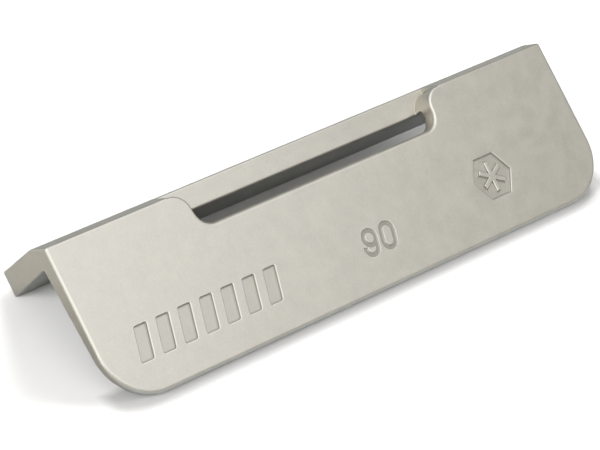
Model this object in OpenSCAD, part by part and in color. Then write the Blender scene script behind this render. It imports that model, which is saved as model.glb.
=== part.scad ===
// Edge file guide: an L-section guide for filing the side edge of a ski or snowboard.
// The long plate rides on the ski's base, the short flange hangs over the side edge,
// and a file is clamped along the inside of the flange, square to the base.
// The guide lies as it rests on a bench: on the plate's lower edge and the flange's foot,
// with X along its length, Y towards the flange and Z up.

/* [Guide] */
// Length of the guide
guide_len = 120; // [100:1:150]
// Angle between the two inner working faces
working_angle = 90; // [86:0.5:92]

/* [Plate] */
// Height of the plate, from its top edge to its lower edge
plate_h = 30.6; // [28:0.1:36]
// Thickness of the plate beside the flange
plate_root_t = 3.4; // [3:0.1:4]
// Thickness of the plate at its lower edge
plate_edge_t = 1.25; // [1.2:0.05:2]
// Radius of the plate's two lower corners, seen from the front
plate_corner_r = 10; // [4:0.5:14]
// Rounding along the front of the plate's lower edge
plate_edge_r = 0.7; // [0.5:0.1:1.1]

/* [Flange] */
// Depth of the flange behind the plate's front face
flange_depth = 15.8; // [12:0.1:20]
// How far the flange's inner face lies below the plate's top edge
flange_inner_drop = 3.1; // [2.5:0.1:3.5]
// How far the ridge on the flange's outside rises above the plate's top edge
ridge_rise = 1.4; // [0.8:0.1:2]
// How far the ridge lies behind the front face
ridge_depth = 4.5; // [4:0.1:4.8]
// How far the flange's outer face at its foot rises above the plate's top edge
foot_rise = 0.9; // [0.5:0.1:1.2]

/* [Window] */
// Length of the window between its two end walls
window_len = 58.1; // [40:0.1:70]
// Height of the window, from the plate's top edge to its lower wall
window_h = 7.1; // [7.1:0.1:9]
// Depth of the recess that the window leaves across the flange's root
window_floor_depth = 5; // [4.9:0.1:6]
// Radius of the shoulders where the window runs out into the top edge
window_shoulder_r = 3.6; // [2:0.1:3.7]
// Radius of the window's two lower corners
window_corner_r = 3.4; // [2:0.1:3.4]

/* [Sunk marks] */
// Depth of the sunk bars and hexagon
mark_depth = 0.5; // [0.2:0.05:0.6]
// Depth of the sunk figures
figure_depth = 0.25; // [0.1:0.05:0.4]
// Number of plain slanted bars in the left-hand mark
bar_count = 7; // [3:1:8]
// Width of one bar
bar_w = 2.8; // [1.5:0.1:3.2]
// Distance from one bar to the next
bar_pitch = 4.9; // [3.6:0.1:5]
// Height of the bars
bar_h = 6.3; // [5:0.1:7]
// Sideways lean of the bars and of the figures, in degrees
mark_lean = 15; // [0:1:20]
// Height of the figures that give the working angle
figure_h = 5.4; // [4:0.1:6]
// Width of one figure
figure_w = 3.5; // [2.4:0.1:3.6]
// Width of the figures' engraved line
figure_stroke = 0.8; // [0.3:0.05:0.9]
// Width across the flats of the hexagonal mark
hex_w = 8.2; // [6:0.1:10]
// Width of the raised arms of the snow crystal in the hexagonal mark
crystal_arm_w = 0.9; // [0.5:0.1:1.2]

/* [Hidden] */
$fn = 64;
eps = 1; // how far a cutter runs past the face that it cuts

// Corners of the end section as [height, depth]: height 0 is the plate's top edge, up the
// plate is positive, and depth 0 is the front face, with what lies behind it negative.
top_edge = [0, 0];
ridge = [ridge_rise, -ridge_depth];
foot_outer = [foot_rise, -flange_depth];
inner_corner = [-flange_inner_drop, -plate_root_t];
plate_edge_inner = [-plate_h, -plate_edge_t];
plate_edge_front = [-plate_h, 0];

// The flange's inner face leaves the inner corner at the working angle to the plate's.
plate_inner_dir = atan2(plate_edge_inner.y - inner_corner.y, plate_edge_inner.x - inner_corner.x);
flange_inner_dir = plate_inner_dir + working_angle;
flange_inner_len = (flange_depth - plate_root_t) / abs(sin(flange_inner_dir));
foot_inner = inner_corner + flange_inner_len * [cos(flange_inner_dir), sin(flange_inner_dir)];

// Lean of the plate when the guide rests on its two inner edges, in degrees
rest_lean = atan2(plate_edge_inner.y - foot_inner.y, foot_inner.x - plate_edge_inner.x);

// Where a point [height, depth] of the section goes once the guide leans
function leaned_y(p) = p.x * cos(rest_lean) - p.y * sin(rest_lean);
function leaned_z(p) = p.x * sin(rest_lean) + p.y * cos(rest_lean);
rest_y = (leaned_y(foot_outer) + leaned_y([-plate_h + plate_edge_r, -plate_edge_r]) - plate_edge_r) / 2;
rest_z = leaned_z(foot_inner);

// Middles of the marks, as distances from the guide's middle and below the top edge
bars_at = [-35.7, -21.45];
figures_at = [4.6, -21.75];
hex_at = [34.8, -19.7];
figure_pitch = 4.3;
nine_loop_h = max(0.66 * figure_h, figure_w);
crystal_arms = 3; // each one runs right across, through the middle
crystal_arm_len = 0.72 * hex_w;
crystal_turn = 30; // so that the arms point at the hexagon's flats
bar_lean_shift = bar_h / 2 * tan(mark_lean);

// Square-ended section of the whole guide, with the plate's lower front edge rounded
module guide_section() {
    r = plate_edge_r;
    difference() {
        polygon([top_edge, ridge, foot_outer, foot_inner, inner_corner,
                 plate_edge_inner, plate_edge_front]);
        difference() {
            translate([-plate_h - eps, -r]) square([r + eps, r + eps]);
            translate([-plate_h + r, -r]) circle(r);
        }
    }
}

// The section run along the guide's length
module guide_bar() {
    translate([-guide_len / 2, 0, 0])
        rotate([90, 0, 90])
            linear_extrude(guide_len) guide_section();
}

// What is cut away from one lower corner of the plate; side is 1 on the right, -1 on the left
module corner_cut(side) {
    r = plate_corner_r;
    outer = max(plate_root_t, plate_edge_t) + eps;
    mirror([side < 0 ? 1 : 0, 0, 0])
        translate([0, 0, -outer])
            linear_extrude(outer + eps)
                difference() {
                    translate([guide_len / 2 - r, -plate_h - eps]) square([r + eps, r + eps]);
                    translate([guide_len / 2 - r, -plate_h + r]) circle(r);
                }
}

// Half of the window's outline, from the guide's middle to its right-hand end wall
module window_half_outline() {
    end = window_len / 2;
    top = ridge_rise + eps;
    r = window_corner_r;
    s = window_shoulder_r;
    difference() {
        union() {
            translate([-eps, -window_h]) square([end + eps, window_h + top]);
            translate([end - eps, -s]) square([s + eps, s + top]);
        }
        difference() {
            translate([end - r, -window_h - eps]) square([r + eps, r + eps]);
            translate([end - r, -window_h + r]) circle(r);
        }
        translate([end + s, -s]) circle(s);
    }
}

// The window's cutter: square to the front face, through the plate, down to the recess floor
module window_cut() {
    translate([0, 0, -window_floor_depth])
        linear_extrude(window_floor_depth + eps) {
            window_half_outline();
            mirror([1, 0]) window_half_outline();
        }
}

// A flat outline sunk into the front face
module sink(at, depth = mark_depth) {
    translate([at.x, at.y, -depth])
        linear_extrude(depth + eps) children();
}

// One slanted bar, about its middle
module bar_outline() {
    w = bar_w / 2;
    h = bar_h / 2;
    d = bar_lean_shift;
    polygon([[-w - d, -h], [w - d, -h], [w + d, h], [-w + d, h]]);
}

// The row of plain bars
module bars_mark() {
    for (i = [0 : bar_count - 1])
        sink(bars_at + [(i - (bar_count - 1) / 2) * bar_pitch, 0]) bar_outline();
}

// A filled upright oval: a square between two round ends, about its middle
module oval(w, h) {
    square([w, h - w], center = true);
    for (end = [-1, 1]) translate([0, end * (h - w) / 2]) circle(w / 2);
}

// The engraved line round an oval
module oval_line(w, h) {
    difference() {
        oval(w, h);
        oval(w - 2 * figure_stroke, h - 2 * figure_stroke);
    }
}

// A figure 9: a closed loop, with the right half and the bottom of a 0 below it
module nine_outline() {
    translate([0, (figure_h - nine_loop_h) / 2]) oval_line(figure_w, nine_loop_h);
    difference() {
        oval_line(figure_w, figure_h);
        translate([-figure_w / 2 - eps, -figure_h / 2 + figure_w / 2])
            square([figure_w / 2 + eps, figure_h]);
    }
}

// The two figures, leaning as the bars do
module figures_mark() {
    apart = [figure_pitch / 2, 0];
    sink(figures_at + apart, figure_depth) rotate(-mark_lean) oval_line(figure_w, figure_h);
    sink(figures_at - apart, figure_depth) rotate(-mark_lean) nine_outline();
}

// A sunk hexagon with a six-armed snow crystal left standing in it
module crystal_mark() {
    sink(hex_at)
        difference() {
            circle(d = hex_w / cos(180 / 6), $fn = 6);
            for (arm = [0 : crystal_arms - 1])
                rotate(crystal_turn + arm * 180 / crystal_arms)
                    square([crystal_arm_len, crystal_arm_w], center = true);
        }
}

module file_guide() {
    color([0.74, 0.72, 0.67])
        translate([0, -rest_y, -rest_z])
            rotate([rest_lean, 0, 0])
                difference() {
                    guide_bar();
                    window_cut();
                    corner_cut(1);
                    corner_cut(-1);
                    bars_mark();
                    figures_mark();
                    crystal_mark();
                }
}

file_guide();
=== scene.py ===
import math

import bpy
import numpy as np
from mathutils import Matrix, Quaternion, Vector


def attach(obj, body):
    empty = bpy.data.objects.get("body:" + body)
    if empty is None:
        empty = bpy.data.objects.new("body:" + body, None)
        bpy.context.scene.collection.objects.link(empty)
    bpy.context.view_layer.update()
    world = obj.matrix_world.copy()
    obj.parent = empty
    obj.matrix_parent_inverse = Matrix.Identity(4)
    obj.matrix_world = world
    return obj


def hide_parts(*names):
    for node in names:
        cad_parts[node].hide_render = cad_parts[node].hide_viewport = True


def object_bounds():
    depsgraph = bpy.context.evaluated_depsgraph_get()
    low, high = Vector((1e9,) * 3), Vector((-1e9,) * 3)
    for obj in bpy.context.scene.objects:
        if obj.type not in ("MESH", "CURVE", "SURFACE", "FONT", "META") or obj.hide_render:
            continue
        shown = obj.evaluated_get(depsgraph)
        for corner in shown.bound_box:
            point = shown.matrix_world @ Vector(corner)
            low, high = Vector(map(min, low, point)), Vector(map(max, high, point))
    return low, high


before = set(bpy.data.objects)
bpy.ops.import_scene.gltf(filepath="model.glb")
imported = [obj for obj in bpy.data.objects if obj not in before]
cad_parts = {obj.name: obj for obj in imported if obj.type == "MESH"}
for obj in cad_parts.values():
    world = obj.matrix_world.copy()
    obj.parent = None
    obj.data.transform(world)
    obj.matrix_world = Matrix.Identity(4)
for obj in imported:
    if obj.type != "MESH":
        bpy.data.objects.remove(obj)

cad_low, cad_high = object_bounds()

# ---------------------------------------------------------------------------------------------
# Sizes of the guide in millimetres, as in the CAD model. A point of the guide is (x, height,
# depth): x from the middle of its length, height up the plate from its top edge, and depth
# from the front face, with what lies behind the face negative.

GUIDE_LEN = 1000 * (cad_high.x - cad_low.x)
WORKING_ANGLE = 90.0
PLATE_H = 30.6
PLATE_ROOT_T = 3.4
PLATE_EDGE_T = 1.25
PLATE_CORNER_R = 10.0
FLANGE_DEPTH = 15.8
FLANGE_INNER_DROP = 3.1
RIDGE_RISE = 1.4
RIDGE_DEPTH = 4.5
FOOT_RISE = 0.9
WINDOW_LEN = 58.1
WINDOW_H = 7.1
WINDOW_FLOOR_DEPTH = 5.0
WINDOW_SHOULDER_R = 3.6
WINDOW_CORNER_R = 3.4
MARK_DEPTH = 0.5
FIGURE_DEPTH = 0.25
BAR_COUNT = 7
BAR_W = 2.8
BAR_PITCH = 4.9
BAR_H = 6.3
MARK_LEAN = 15.0
FIGURE_H = 5.4
FIGURE_W = 3.5
FIGURE_STROKE = 0.8
FIGURE_PITCH = 4.3
NINE_LOOP_H = max(0.66 * FIGURE_H, FIGURE_W)
HEX_W = 8.2
CRYSTAL_ARM_W = 0.9
CRYSTAL_ARM_LEN = 0.72 * HEX_W
CRYSTAL_TURN = 30.0
BARS_AT = (-35.7, -21.45)
FIGURES_AT = (4.6, -21.75)
HEX_AT = (34.8, -19.7)

# Roundings of the guide's edges
LOWER_EDGE_R = 0.7
END_EDGE_R = 0.5
TOP_EDGE_R = 0.3
RIDGE_R = 0.4
FOOT_R = 0.4
INNER_EDGE_R = 0.3
INNER_CORNER_R = 0.4
SILL_R = 0.75
WINDOW_END_R = 0.5
WINDOW_INNER_R = 0.45
RECESS_CORNER_R = 0.15
MARK_EDGE_R = 0.15
FIGURE_EDGE_R = 0.1
BAR_CORNER_R = 0.35
CRYSTAL_CORNER_R = 0.1

# Where one rounding gives way to another: how far above the lower edge its own is full, how far
# below the start of the window's corners the sill's begins, and the depths over which the
# window's inner rounding turns into its front one
LOWER_EDGE_BAND = 2.0
SILL_START = 0.6
WINDOW_FRONT = (-2.4, -1.3)

# Corners of the end section as (height, depth)
TOP_EDGE = (0.0, 0.0)
RIDGE = (RIDGE_RISE, -RIDGE_DEPTH)
FOOT_OUTER = (FOOT_RISE, -FLANGE_DEPTH)
INNER_CORNER = (-FLANGE_INNER_DROP, -PLATE_ROOT_T)
PLATE_EDGE_INNER = (-PLATE_H, -PLATE_EDGE_T)
plate_inner_dir = math.atan2(
    PLATE_EDGE_INNER[1] - INNER_CORNER[1], PLATE_EDGE_INNER[0] - INNER_CORNER[0]
)
flange_inner_dir = plate_inner_dir + math.radians(WORKING_ANGLE)
flange_inner_len = (FLANGE_DEPTH - PLATE_ROOT_T) / abs(math.sin(flange_inner_dir))
FOOT_INNER = (
    INNER_CORNER[0] + flange_inner_len * math.cos(flange_inner_dir),
    INNER_CORNER[1] + flange_inner_len * math.sin(flange_inner_dir),
)

# Lean of the plate as the guide rests on its two inner edges
REST_LEAN = math.atan2(
    PLATE_EDGE_INNER[1] - FOOT_INNER[1], FOOT_INNER[0] - PLATE_EDGE_INNER[0]
)

# The camera: where it is aimed and from where, in metres and degrees, and its lens in mm
CAMERA_TARGET = (-0.008855, -0.002116, 0.008)
CAMERA_AZIMUTH = -52.46
CAMERA_ELEVATION = 42.114
CAMERA_ROLL = 17.528
CAMERA_DISTANCE = 0.57387
CAMERA_LENS = 192.81

# The studio: where its brighter side is, over which cosines to it the strength rises, and that
# strength on the dark side and on the bright one
SKY_AT = (-35, 60)
SKY_SPREAD = (-0.2, 1.0)
SKY_COLOUR = (1.0, 0.985, 0.95, 1)
SKY_STRENGTH = (0.29, 0.67)

# The lights, each of them there for the steel, for the floor or for both. Angles are in degrees,
# places and sizes in metres, and the turn is about the light's own axis.
LIGHTS = {
    "softbox": dict(
        target=(-0.05, -0.06, 0), azimuth=0, elevation=90, turn=-20, distance=0.3,
        size=(0.52, 0.5), watts=0.88, colour=(0.95, 0.98, 1.1), seen_by="steel",
    ),
    "key_light": dict(azimuth=-75, elevation=25, size=(0.5, 0.5), watts=0.9, seen_by="both"),
    "floor_left": dict(azimuth=-95, elevation=22, size=(0.4, 0.4), watts=7.5, seen_by="floor"),
    "floor_back": dict(azimuth=140, elevation=34, size=(0.3, 0.3), watts=6.2, seen_by="floor"),
    "floor_right": dict(azimuth=70, elevation=12, size=(0.15, 0.15), watts=9, seen_by="floor"),
}


# ---------------------------------------------------------------------------------------------
# Shapes as distance fields: negative inside the metal, zero on its surface. Where two fields
# meet, the edge gets a true rounding, and its place is noted, so that the mesh is fine there.

def note_crease(creases, a, b, radius):
    if creases is not None:
        creases.append((np.hypot(a, b) - np.max(radius), float(np.max(radius))))


def both(a, b, radius, creases=None):
    """What lies in a and in b, with the edge between them rounded."""
    note_crease(creases, a, b, radius)
    corner = np.hypot(np.maximum(a + radius, 0), np.maximum(b + radius, 0))
    return np.minimum(np.maximum(a, b), -radius) + corner


def either(a, b, radius, creases=None):
    """What lies in a or in b, with the corner between them filleted."""
    return -both(-a, -b, radius, creases)


def beyond_line(height, depth, start, end):
    """Distance past a side of the section, run through in the order of its outline."""
    along = (end[0] - start[0], end[1] - start[1])
    size = math.hypot(*along)
    return ((depth - start[1]) * along[0] - (height - start[0]) * along[1]) / size


def smooth_step(value, low, high):
    t = np.clip((value - low) / (high - low), 0, 1)
    return t * t * (3 - 2 * t)


def plate_outline(x, height):
    """Front view of the whole guide: square above, round at the plate's lower corners."""
    side = np.abs(x) - GUIDE_LEN / 2
    below = -(height + PLATE_H)
    return both(side, below, PLATE_CORNER_R)


def window_outline(x, height):
    """Front view of the window, from its sill up through the top edge."""
    side = np.abs(x) - WINDOW_LEN / 2
    opening = both(side, -(height + WINDOW_H), WINDOW_CORNER_R)
    above = np.maximum(-height, side - WINDOW_SHOULDER_R)
    return either(opening, above, WINDOW_SHOULDER_R)


def bars_outline(x, height):
    """A row of plain slanted bars."""
    lean = math.radians(MARK_LEAN)
    across = (x - BARS_AT[0]) - (height - BARS_AT[1]) * math.tan(lean)
    last = (BAR_COUNT - 1) / 2
    nearest = np.clip(np.round(across / BAR_PITCH + last), 0, BAR_COUNT - 1) - last
    side = (np.abs(across - nearest * BAR_PITCH) - BAR_W / 2) * math.cos(lean)
    end = np.abs(height - BARS_AT[1]) - BAR_H / 2
    return both(side, end, BAR_CORNER_R)


def oval_line(u, v, width, height):
    """A drawn upright oval, FIGURE_STROKE wide, whose outside is width by height."""
    radius = width / 2
    reach = height / 2 - radius
    to_middle = np.hypot(u, np.maximum(np.abs(v) - reach, 0))
    return np.abs(to_middle - radius + FIGURE_STROKE / 2) - FIGURE_STROKE / 2


def figures_outline(x, height):
    """The figures 9 and 0, each leaning as the bars do."""
    lean = math.radians(MARK_LEAN)
    shapes = []
    for side in (-1, 1):
        dx = x - FIGURES_AT[0] - side * FIGURE_PITCH / 2
        dy = height - FIGURES_AT[1]
        u = dx * math.cos(lean) - dy * math.sin(lean)
        v = dx * math.sin(lean) + dy * math.cos(lean)
        whole = oval_line(u, v, FIGURE_W, FIGURE_H)
        if side > 0:
            shapes.append(whole)
            continue
        loop = oval_line(u, v - (FIGURE_H - NINE_LOOP_H) / 2, FIGURE_W, NINE_LOOP_H)
        left_gap = np.maximum(u, -FIGURE_H / 2 + FIGURE_W / 2 - v)
        tail = np.maximum(whole, -left_gap)
        shapes.append(np.minimum(loop, tail))
    return np.minimum(*shapes)


def crystal_outline(x, height):
    """A hexagon round a six-armed snow crystal, which is left standing."""
    dx = x - HEX_AT[0]
    dy = height - HEX_AT[1]
    hexagon = np.full_like(dx, -np.inf)
    arms = np.full_like(dx, np.inf)
    for third in range(3):
        turn = math.radians(60 * third + CRYSTAL_TURN)
        along = dx * math.cos(turn) + dy * math.sin(turn)
        across = dy * math.cos(turn) - dx * math.sin(turn)
        hexagon = np.maximum(hexagon, np.abs(along) - HEX_W / 2)
        arm = np.maximum(np.abs(along) - CRYSTAL_ARM_LEN / 2, np.abs(across) - CRYSTAL_ARM_W / 2)
        arms = np.minimum(arms, arm)
    return both(hexagon, -arms, CRYSTAL_CORNER_R)


def guide_field(points, creases=None):
    """Distance of points, in the guide's own millimetres, to its surface."""
    x, height, depth = points.T

    # The section: the plate and the flange, outside and inside
    bevel = beyond_line(height, depth, TOP_EDGE, RIDGE)
    outer = beyond_line(height, depth, RIDGE, FOOT_OUTER)
    foot = -(depth + FLANGE_DEPTH)
    plate_inner = beyond_line(height, depth, INNER_CORNER, PLATE_EDGE_INNER)
    flange_inner = beyond_line(height, depth, FOOT_INNER, INNER_CORNER)
    solid = both(depth, bevel, TOP_EDGE_R, creases)
    solid = both(solid, outer, RIDGE_R, creases)
    solid = both(solid, foot, FOOT_R, creases)

    # The ends and the lower edge, which has a larger rounding than the ends
    low = smooth_step(-height, PLATE_H - PLATE_CORNER_R, PLATE_H - LOWER_EDGE_BAND)
    edge_r = END_EDGE_R + (LOWER_EDGE_R - END_EDGE_R) * low
    solid = both(solid, plate_outline(x, height), edge_r, creases)

    # The hollow between the plate's and the flange's inner faces
    inner = either(plate_inner, flange_inner, INNER_CORNER_R, creases)
    solid = both(solid, inner, INNER_EDGE_R, creases)

    # The window, with a well rounded sill at the front and crisper edges elsewhere
    outside_window = -window_outline(x, height)
    recess = either(outside_window, depth + WINDOW_FLOOR_DEPTH, RECESS_CORNER_R, creases)
    sill = smooth_step(-height, WINDOW_H - WINDOW_CORNER_R + SILL_START, WINDOW_H)
    front_r = WINDOW_END_R + (SILL_R - WINDOW_END_R) * sill
    front = smooth_step(depth, *WINDOW_FRONT)
    window_r = WINDOW_INNER_R + (front_r - WINDOW_INNER_R) * front
    solid = both(solid, recess, window_r, creases)

    # The sunk marks
    marks = np.minimum(bars_outline(x, height), crystal_outline(x, height))
    unsunk = either(-marks, depth + MARK_DEPTH, MARK_EDGE_R, creases)
    solid = both(solid, unsunk, MARK_EDGE_R, creases)
    unsunk = either(-figures_outline(x, height), depth + FIGURE_DEPTH, FIGURE_EDGE_R, creases)
    return both(solid, unsunk, FIGURE_EDGE_R, creases)


def guide_normals(points, step=0.01):
    """Outward normals, from the field's slope, and the slope's size."""
    slope = np.empty_like(points)
    for axis in range(3):
        shift = np.zeros(3)
        shift[axis] = step
        slope[:, axis] = (guide_field(points + shift) - guide_field(points - shift)) / (2 * step)
    size = np.linalg.norm(slope, axis=1, keepdims=True)
    return slope / np.maximum(size, 1e-6), size


# ---------------------------------------------------------------------------------------------
# Meshing: a tree of cubes, small near the edges and marks and large on the flats. Each cube
# that the surface passes through gives one vertex, and each cube edge it cuts gives one face.

FINEST = 0.1  # size of the smallest cubes, in millimetres
ROOT = 8  # size of the largest cubes, in smallest ones

# The grid, a little larger than the guide all round, and a cube's corners and their order
GRID_LOW = -np.round([GUIDE_LEN / 2 + 1.25, PLATE_H + 1.13, FLANGE_DEPTH + 0.63], 2)
GRID_SPAN = np.array([GUIDE_LEN + 2.4, PLATE_H + RIDGE_RISE + 1.6, FLANGE_DEPTH + 1.8])
GRID_CELLS = np.round(GRID_SPAN / (ROOT * FINEST)).astype(int) * ROOT
CORNERS = np.array([(i, j, k) for i in (0, 1) for j in (0, 1) for k in (0, 1)])
NEXT_CORNER = (4, 2, 1)  # how much further on the corner at the other end of an edge is

# Reach of a cube, in its own widths, to the surface and to an edge of the guide; the width, in
# roundings, at which it is small enough there; how often vertices are drawn to the surface; and
# the decimals in which vertices at the same place agree
SURFACE_REACH = 1.15
CREASE_REACH = 0.95
FINE_ENOUGH = 0.7
SETTLING_STEPS = 4
SAME_PLACE_DIGITS = 4


def place(cells):
    """Where whole or half steps of the finest grid lie."""
    return GRID_LOW + cells * FINEST


def key_of(cells):
    return (cells[:, 0] * (GRID_CELLS[1] + 1) + cells[:, 1]) * (GRID_CELLS[2] + 1) + cells[:, 2]


def cell_tree():
    """All the cubes: their low corners and sizes, and which of them are near the surface."""
    steps = [np.arange(0, n, ROOT) for n in GRID_CELLS]
    cells = np.stack(np.meshgrid(*steps, indexing="ij"), -1).reshape(-1, 3)
    size = ROOT
    found = []
    while True:
        creases = []
        width = size * FINEST
        distance = guide_field(place(cells + size / 2), creases)
        near = np.abs(distance) < SURFACE_REACH * width
        split = np.zeros(len(cells), bool)
        if size > 1:
            for away, radius in creases:
                if width > FINE_ENOUGH * radius:
                    split |= away < CREASE_REACH * width
            split &= near
        kept = cells[~split]
        found.append((kept, np.full(len(kept), size), near[~split]))
        if not split.any():
            break
        size //= 2
        cells = (cells[split][:, None] + CORNERS * size).reshape(-1, 3)
    return [np.concatenate(part) for part in zip(*found)]


def cell_finder(cells, sizes):
    """A function that gives the cube round each point, given in half steps."""
    tables = []
    for size in np.unique(sizes):
        rows = np.flatnonzero(sizes == size)
        keys = key_of(cells[rows])
        order = np.argsort(keys)
        tables.append((size, keys[order], rows[order]))

    def find(half_steps):
        row = np.full(len(half_steps), -1)
        for size, keys, rows in tables:
            wanted = key_of(half_steps // (2 * size) * size)
            at = np.minimum(np.searchsorted(keys, wanted), len(keys) - 1)
            hit = keys[at] == wanted
            row[hit] = rows[at[hit]]
        return row

    return find


def cut_edges(cells, sizes):
    """The cubes' edges that the surface cuts, as low ends, lengths, axes and whether the field
    rises along them; and for each cube the mean of its cuts, or its middle if it has none."""
    corners = cells[:, None] + CORNERS * sizes[:, None, None]
    flat = corners.reshape(-1, 3)
    first, back = np.unique(key_of(flat), return_index=True, return_inverse=True)[1:]
    values = guide_field(place(flat[first]))[back].reshape(-1, 8)

    total = np.zeros((len(cells), 3))
    count = np.zeros((len(cells), 1))
    edges = []
    for axis in range(3):
        for corner in np.flatnonzero(CORNERS[:, axis] == 0):
            a, b = values[:, corner], values[:, corner + NEXT_CORNER[axis]]
            cut = np.flatnonzero((a < 0) != (b < 0))
            start = corners[cut, corner]
            point = start.astype(float)
            point[:, axis] += a[cut] / (a[cut] - b[cut]) * sizes[cut]
            total[cut] += point
            count[cut] += 1
            edges.append((start, sizes[cut], np.full(len(cut), axis), a[cut] < 0))
    mean = np.where(count > 0, total / np.maximum(count, 1), cells + sizes[:, None] / 2)
    return [np.concatenate(part) for part in zip(*edges)], mean


def settled(points):
    """The points, drawn along the field's slope to the surface."""
    for _ in range(SETTLING_STEPS):
        normals, size = guide_normals(points)
        points = points - normals * (guide_field(points)[:, None] / np.maximum(size, 0.5))
    return points


def surface_mesh():
    """Vertices in the guide's own millimetres, and faces of three or four corners."""
    cells, sizes, near = cell_tree()
    find = cell_finder(cells, sizes)
    vertex_cells = cells + sizes[:, None] / 2
    (starts, spans, axes, rising), vertex_cells[near] = cut_edges(cells[near], sizes[near])

    # The ring of four cubes round each cut edge, unless a smaller cube has a part of that edge
    edge_keys = (key_of(starts) * 3 + axes) * (2 * ROOT) + spans
    single = np.unique(edge_keys, return_index=True)[1]
    starts, spans, axes, rising = starts[single], spans[single], axes[single], rising[single]
    rings = np.empty((len(starts), 4), int)
    rows = np.arange(len(starts))
    for turn, (du, dv) in enumerate(((-1, -1), (1, -1), (1, 1), (-1, 1))):
        probe = 2 * starts
        probe[rows, axes] += 1
        probe[rows, (axes + 1) % 3] += du
        probe[rows, (axes + 2) % 3] += dv
        rings[:, turn] = find(probe)
    whole = (rings >= 0).all(1) & (sizes[rings].min(1) == spans)
    rings, rising = rings[whole], rising[whole]
    rings[~rising] = rings[~rising][:, ::-1]

    used, rings = np.unique(rings, return_inverse=True)
    points = settled(place(vertex_cells[used]))

    # Vertices that have come to the same place become one, and faces that this folds up go
    rounded = np.round(points, SAME_PLACE_DIGITS)
    first, same = np.unique(rounded, axis=0, return_index=True, return_inverse=True)[1:]
    faces = []
    for ring in same.reshape(-1)[rings.reshape(-1, 4)].tolist():
        face = [v for n, v in enumerate(ring) if v != ring[n - 1]]
        if len(face) > 2 and len(set(face)) == len(face):
            faces.append(face)
    return points[first], faces


# ---------------------------------------------------------------------------------------------
# The guide's body

# How far around itself a vertex looks for edges and corners, in millimetres, the range of what
# it finds that shows, how much darker the marks' floors are, and how much painted shade their
# corners get
WEAR_REACH = 0.35
WEAR_RANGE = (0.03, 0.2)
MARK_FLOOR_DARKENING = 0.3
CORNER_PAINTED_SHADE = 0.6


def leaned(points):
    """From (x, height, depth) to the row frame's directions."""
    x, height, depth = points.T
    y = height * math.cos(REST_LEAN) - depth * math.sin(REST_LEAN)
    z = height * math.sin(REST_LEAN) + depth * math.cos(REST_LEAN)
    return np.stack([x, y, z], 1)


def rest_place():
    """What is taken away, in leaned millimetres, so that the guide stands at the row's origin."""
    centre = np.array([[0, -PLATE_H + LOWER_EDGE_R, -LOWER_EDGE_R]])
    lowest_y = leaned(centre)[0, 1] - LOWER_EDGE_R
    highest_y = leaned(np.array([[0, *FOOT_OUTER]]))[0, 1]
    lowest_z = leaned(np.array([[0, *FOOT_INNER]]))[0, 2]
    return np.array([0, (lowest_y + highest_y) / 2, lowest_z])


def edge_wear(points):
    """How sharply the surface turns: positive along edges, negative in corners, 0 on flats."""
    around = np.zeros(len(points))
    for axis in range(3):
        for side in (-WEAR_REACH, WEAR_REACH):
            shift = np.zeros(3)
            shift[axis] = side
            around += guide_field(points + shift)
    return around / 6 / WEAR_REACH


def mark_etch_and_painted_shade(points, wear):
    """How far the steel is darkened to its etch colour in the sunk marks: 1 on the figures'
    floors, a set share on the other marks' floors, more in their corners, where it is painted
    shade, and 0 on the rest of the guide."""
    x, height, depth = points.T
    figures = smooth_step(-figures_outline(x, height), 0, 0.12)
    others = np.minimum(bars_outline(x, height), crystal_outline(x, height))
    others = smooth_step(-others, -0.1, 0.1)
    others *= smooth_step(-depth, 0.3 * MARK_DEPTH, 0.8 * MARK_DEPTH)
    # Painted shade in the corners of the bars' and the crystal's hollows, on top of their darker
    # floors
    floor_tone_and_corner_shade = MARK_FLOOR_DARKENING + CORNER_PAINTED_SHADE * smooth_step(-wear, *WEAR_RANGE)
    on_front = depth > -2 * MARK_DEPTH
    return np.where(on_front, np.maximum(figures, floor_tone_and_corner_shade * others), 0)


def make_guide():
    points, faces = surface_mesh()
    normals = guide_normals(points)[0]
    mesh = bpy.data.meshes.new("guide_body")
    mesh.from_pydata((leaned(points) - rest_place()) / 1000, [], faces)
    mesh.shade_smooth()
    mesh.normals_split_custom_set_from_vertices(leaned(normals))
    wear = edge_wear(points)
    for name, values in (("wear", wear), ("etch_and_shade", mark_etch_and_painted_shade(points, wear))):
        attribute_data = mesh.attributes.new(name, "FLOAT", "POINT").data
        attribute_data.foreach_set("value", values.astype(np.float32))
    guide = bpy.data.objects.new("guide_body", mesh)
    bpy.context.scene.collection.objects.link(guide)
    return guide


# ---------------------------------------------------------------------------------------------
# Materials, with lengths in metres but for the noises, which are per millimetre. FROM_FRONT,
# FROM_END, FROM_BACK and FROM_LEFT count from the sides of the guide's box.

STEEL_DARK = (0.555, 0.532, 0.462, 1)
STEEL_LIGHT = (0.685, 0.656, 0.570, 1)
STEEL_BURNISHED = (0.74, 0.72, 0.66, 1)
STEEL_ETCH_AND_SHADE = (0.40, 0.38, 0.33, 1)
GRAIN_PER_MM = 3.0
CLOUDS_PER_MM = 0.3
PAPER_CLOUDS_PER_MM = 0.05
GRAIN_DEPTH = 0.00005
PAPER_TONE = (0.77, 0.79)
# Painted shadow on the white paper: how far the occlusion reaches, its darkest tone, and where it
# stops in front and at the ends
PAINTED_SHADOW_REACH = 0.005
PAINTED_SHADOW_TONE = 0.6
PAINTED_SHADOW_FROM_FRONT = (0.0015, 0.0055)
PAINTED_SHADOW_FROM_END = (-0.005, 0.002)
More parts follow.
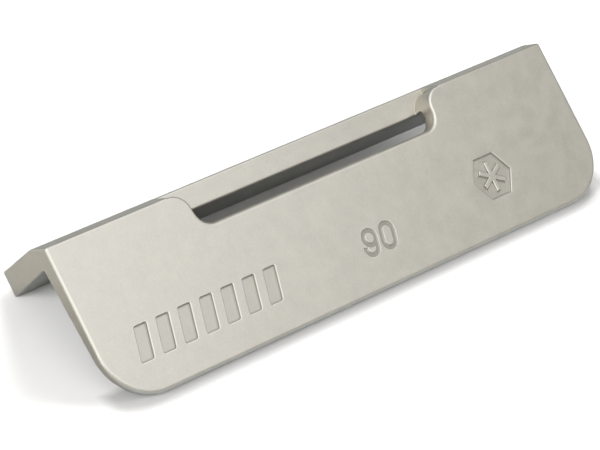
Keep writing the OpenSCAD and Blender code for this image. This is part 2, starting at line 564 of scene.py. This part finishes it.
# Painted shade and light of the grey paper that only the steel's reflections see
PAINTED_REFLECTION_NEAR = (0.37, 0.395, 0.43, 1)
PAINTED_REFLECTION_FAR = (0.27, 0.285, 0.30, 1)
PAINTED_REFLECTION_LEFT = (0.40, 0.395, 0.39, 1)
PAINTED_REFLECTION_FROM_BACK = (0.0005, 0.0175)
PAINTED_REFLECTION_FROM_LEFT = (-0.004, 0.002)


def new_material(name):
    material = bpy.data.materials.new(name)
    material.use_nodes = True
    nodes = material.node_tree.nodes
    return material, nodes, material.node_tree.links, nodes["Principled BSDF"]


def noise(nodes, links, coords, per_mm, detail=3.0, roughness=0.5):
    """A noise texture whose features are about 1 / per_mm millimetres across."""
    node = nodes.new("ShaderNodeTexNoise")
    node.inputs["Scale"].default_value = per_mm * 1000
    node.inputs["Detail"].default_value = detail
    node.inputs["Roughness"].default_value = roughness
    links.new(coords, node.inputs["Vector"])
    return node.outputs["Fac"]


def ranged(nodes, links, value, from_low, from_high, to_low, to_high):
    node = nodes.new("ShaderNodeMapRange")
    for name, number in zip(
        ("From Min", "From Max", "To Min", "To Max"), (from_low, from_high, to_low, to_high)
    ):
        node.inputs[name].default_value = number
    links.new(value, node.inputs["Value"])
    return node.outputs["Result"]


def combined(nodes, links, operation, a, b):
    node = nodes.new("ShaderNodeMath")
    node.operation = operation
    for socket, value in zip(node.inputs, (a, b)):
        if isinstance(value, (int, float)):
            socket.default_value = value
        else:
            links.new(value, socket)
    return node.outputs["Value"]


def ramp(nodes, links, value, low_colour, high_colour, low_at=0.0, high_at=1.0):
    node = nodes.new("ShaderNodeValToRGB")
    low, high = node.color_ramp.elements
    low.position, high.position = low_at, high_at
    low.color, high.color = low_colour, high_colour
    links.new(value, node.inputs["Fac"])
    return node.outputs["Color"]


def blended(nodes, links, share, first, second):
    """The first colour where the share is 0, and the second where it is 1."""
    node = nodes.new("ShaderNodeMix")
    node.data_type = "RGBA"
    links.new(share, node.inputs["Factor"])
    for socket, colour in zip(node.inputs[6:8], (first, second)):
        if isinstance(colour, tuple):
            socket.default_value = colour
        else:
            links.new(colour, socket)
    return node.outputs[2]


def attribute(nodes, name):
    node = nodes.new("ShaderNodeAttribute")
    node.attribute_name = name
    return node.outputs["Fac"]


def blasted_steel():
    """Warm-grey steel, bead-blasted: a fine grain, faint clouds and slightly burnished edges."""
    material, nodes, links, surface = new_material("blasted_steel")
    coords = nodes.new("ShaderNodeTexCoord").outputs["Object"]
    grain = noise(nodes, links, coords, GRAIN_PER_MM, detail=3.0, roughness=0.7)
    clouds = noise(nodes, links, coords, CLOUDS_PER_MM, detail=6.0, roughness=0.65)
    wear = ranged(nodes, links, attribute(nodes, "wear"), *WEAR_RANGE, 0.0, 1.0)

    mixed = combined(nodes, links, "ADD", combined(nodes, links, "MULTIPLY", grain, 0.5),
                     combined(nodes, links, "MULTIPLY", clouds, 0.5))
    colour = ramp(nodes, links, mixed, STEEL_DARK, STEEL_LIGHT, 0.3, 0.7)
    burnish = combined(nodes, links, "MULTIPLY", wear, 0.5)
    colour = blended(nodes, links, burnish, colour, STEEL_BURNISHED)
    # The figures' etching, the other marks' darker floors, and painted shade in those marks'
    # corners
    colour = blended(nodes, links, attribute(nodes, "etch_and_shade"), colour, STEEL_ETCH_AND_SHADE)
    links.new(colour, surface.inputs["Base Color"])

    rough = combined(nodes, links, "ADD", ranged(nodes, links, clouds, 0.3, 0.7, 0.42, 0.5),
                     ranged(nodes, links, grain, 0.3, 0.7, -0.03, 0.03))
    smoothed = combined(nodes, links, "MULTIPLY", wear, 0.1)
    rough = combined(nodes, links, "SUBTRACT", rough, smoothed)
    links.new(rough, surface.inputs["Roughness"])
    surface.inputs["Metallic"].default_value = 1.0

    bump = nodes.new("ShaderNodeBump")
    bump.inputs["Strength"].default_value = 0.3
    bump.inputs["Distance"].default_value = GRAIN_DEPTH
    links.new(grain, bump.inputs["Height"])
    links.new(bump.outputs["Normal"], surface.inputs["Normal"])
    return material


def paper_with_painted_shadow():
    """Matt white paper, with a painted shadow: ambient occlusion darkens it close in front of the
    guide's lower edge.
    """
    material, nodes, links, surface = new_material("paper_with_painted_shadow")
    coords = nodes.new("ShaderNodeTexCoord").outputs["Object"]
    clouds = noise(nodes, links, coords, PAPER_CLOUDS_PER_MM)
    tone = ranged(nodes, links, clouds, 0.3, 0.7, *PAPER_TONE)
    # Painted shadow: ambient occlusion near the guide darkens the paper's colour
    near = nodes.new("ShaderNodeAmbientOcclusion")
    near.inputs["Distance"].default_value = PAINTED_SHADOW_REACH
    shade = ranged(nodes, links, near.outputs["AO"], 0.92, 0.99, PAINTED_SHADOW_TONE, 1.0)

    # No such shade beneath the guide or beside its ends
    place_at = nodes.new("ShaderNodeSeparateXYZ")
    links.new(coords, place_at.inputs["Vector"])
    front = [cad_low.y + past for past in PAINTED_SHADOW_FROM_FRONT]
    beneath = ranged(nodes, links, place_at.outputs["Y"], *front, 0.0, 1.0)
    from_middle = combined(nodes, links, "ABSOLUTE", place_at.outputs["X"], 0)
    end = [cad_high.x + past for past in PAINTED_SHADOW_FROM_END]
    beside = ranged(nodes, links, from_middle, *end, 0.0, 1.0)
    lit = combined(nodes, links, "MAXIMUM", beneath, beside)
    shade = combined(nodes, links, "MAXIMUM", shade, lit)
    links.new(combined(nodes, links, "MULTIPLY", tone, shade), surface.inputs["Base Color"])
    surface.inputs["Roughness"].default_value = 0.9
    surface.inputs["Specular IOR Level"].default_value = 0.1
    return material


def grey_paper_painted_shade():
    """Grey paper, seen only in reflections, whose tones are painted shade and light: bluish,
    darkest behind the guide and lightest beyond its left-hand end.
    """
    material, nodes, links, surface = new_material("grey_paper_painted_shade")
    place_at = nodes.new("ShaderNodeSeparateXYZ")
    links.new(nodes.new("ShaderNodeTexCoord").outputs["Object"], place_at.inputs["Vector"])
    # Painted shade and light: darker towards the back, lighter beyond the left-hand end
    back = [cad_high.y + past for past in PAINTED_REFLECTION_FROM_BACK]
    behind = ranged(nodes, links, place_at.outputs["Y"], *back, 0.0, 1.0)
    across = ramp(nodes, links, behind, PAINTED_REFLECTION_NEAR, PAINTED_REFLECTION_FAR)
    left = [cad_low.x + past for past in PAINTED_REFLECTION_FROM_LEFT]
    along = ranged(nodes, links, place_at.outputs["X"], *left, 0.0, 1.0)
    colour = blended(nodes, links, along, PAINTED_REFLECTION_LEFT, across)
    links.new(colour, surface.inputs["Base Color"])
    surface.inputs["Roughness"].default_value = 0.9
    return material


# ---------------------------------------------------------------------------------------------
# Floor, light and camera

FLOOR_REACH = 4.0
GREY_LIFT = 0.00001
SENSOR_WIDTH = 36


def make_floor(name, height, material):
    mesh = bpy.data.meshes.new(name)
    sides = ((-1, -1), (1, -1), (1, 1), (-1, 1))
    corners = [(x * FLOOR_REACH, y * FLOOR_REACH, height) for x, y in sides]
    mesh.from_pydata(corners, [], [(0, 1, 2, 3)])
    mesh.materials.append(material)
    floor = bpy.data.objects.new(name, mesh)
    bpy.context.scene.collection.objects.link(floor)
    return floor


def make_floors():
    """White paper, and what the steel reflects in its place: a greyer copy of the sheet, with
    painted shade and light.
    """
    white = make_floor("studio_floor", 0, paper_with_painted_shadow())
    white.visible_glossy = False
    grey = make_floor("floor_in_reflections", GREY_LIFT, grey_paper_painted_shade())
    grey.visible_camera = False
    grey.visible_diffuse = False
    grey.visible_shadow = False


def direction(azimuth, elevation):
    """Unit vector from the guide towards a viewer or a light, with angles in degrees."""
    a, e = math.radians(azimuth), math.radians(elevation)
    return Vector((math.sin(a) * math.cos(e), -math.cos(a) * math.cos(e), math.sin(e)))


def area_light(name, azimuth, elevation, size, watts, seen_by,
               target=(0, 0, 0), turn=0, distance=0.8, colour=(1, 1, 1)):
    data = bpy.data.lights.new(name, "AREA")
    data.shape = "RECTANGLE"
    data.size, data.size_y = size
    data.energy = watts
    data.color = colour
    light = bpy.data.objects.new(name, data)
    bpy.context.scene.collection.objects.link(light)
    light.visible_glossy = seen_by != "floor"
    light.visible_diffuse = seen_by != "steel"
    away = direction(azimuth, elevation)
    light.location = Vector(target) + away * distance
    turned = Quaternion((0, 0, 1), math.radians(turn))
    light.rotation_euler = (away.to_track_quat("Z", "Y") @ turned).to_euler()


def make_light():
    """An even studio, brighter on one side, and a softbox that the front face reflects."""
    world = bpy.data.worlds.new("studio")
    bpy.context.scene.world = world
    world.use_nodes = True
    nodes, links = world.node_tree.nodes, world.node_tree.links
    background = nodes["Background"]
    background.inputs["Color"].default_value = SKY_COLOUR
    side = nodes.new("ShaderNodeVectorMath")
    side.operation = "DOT_PRODUCT"
    side.inputs[1].default_value = direction(*SKY_AT)
    links.new(nodes.new("ShaderNodeTexCoord").outputs["Generated"], side.inputs[0])
    strength = ranged(nodes, links, side.outputs["Value"], *SKY_SPREAD, *SKY_STRENGTH)
    links.new(strength, background.inputs["Strength"])
    for name, settings in LIGHTS.items():
        area_light(name, **settings)


def make_camera():
    data = bpy.data.cameras.new("camera")
    data.lens = CAMERA_LENS
    data.sensor_width = SENSOR_WIDTH
    data.clip_start = 0.01
    camera = bpy.data.objects.new("camera", data)
    bpy.context.scene.collection.objects.link(camera)
    back = direction(CAMERA_AZIMUTH, CAMERA_ELEVATION)
    level = Vector((-back.y, back.x, 0)).normalized()
    upright = back.cross(level)
    roll = math.radians(CAMERA_ROLL)
    right = level * math.cos(roll) + upright * math.sin(roll)
    up = upright * math.cos(roll) - level * math.sin(roll)
    place_at = Vector(CAMERA_TARGET) + back * CAMERA_DISTANCE
    axes = Matrix((right, up, back)).transposed().to_4x4()
    camera.matrix_world = Matrix.Translation(place_at) @ axes
    bpy.context.scene.camera = camera


guide = make_guide()
guide.data.materials.append(blasted_steel())
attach(guide, "root")
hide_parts("file_guide")
make_floors()
make_light()
make_camera()
bpy.context.scene.view_settings.view_transform = "Standard"
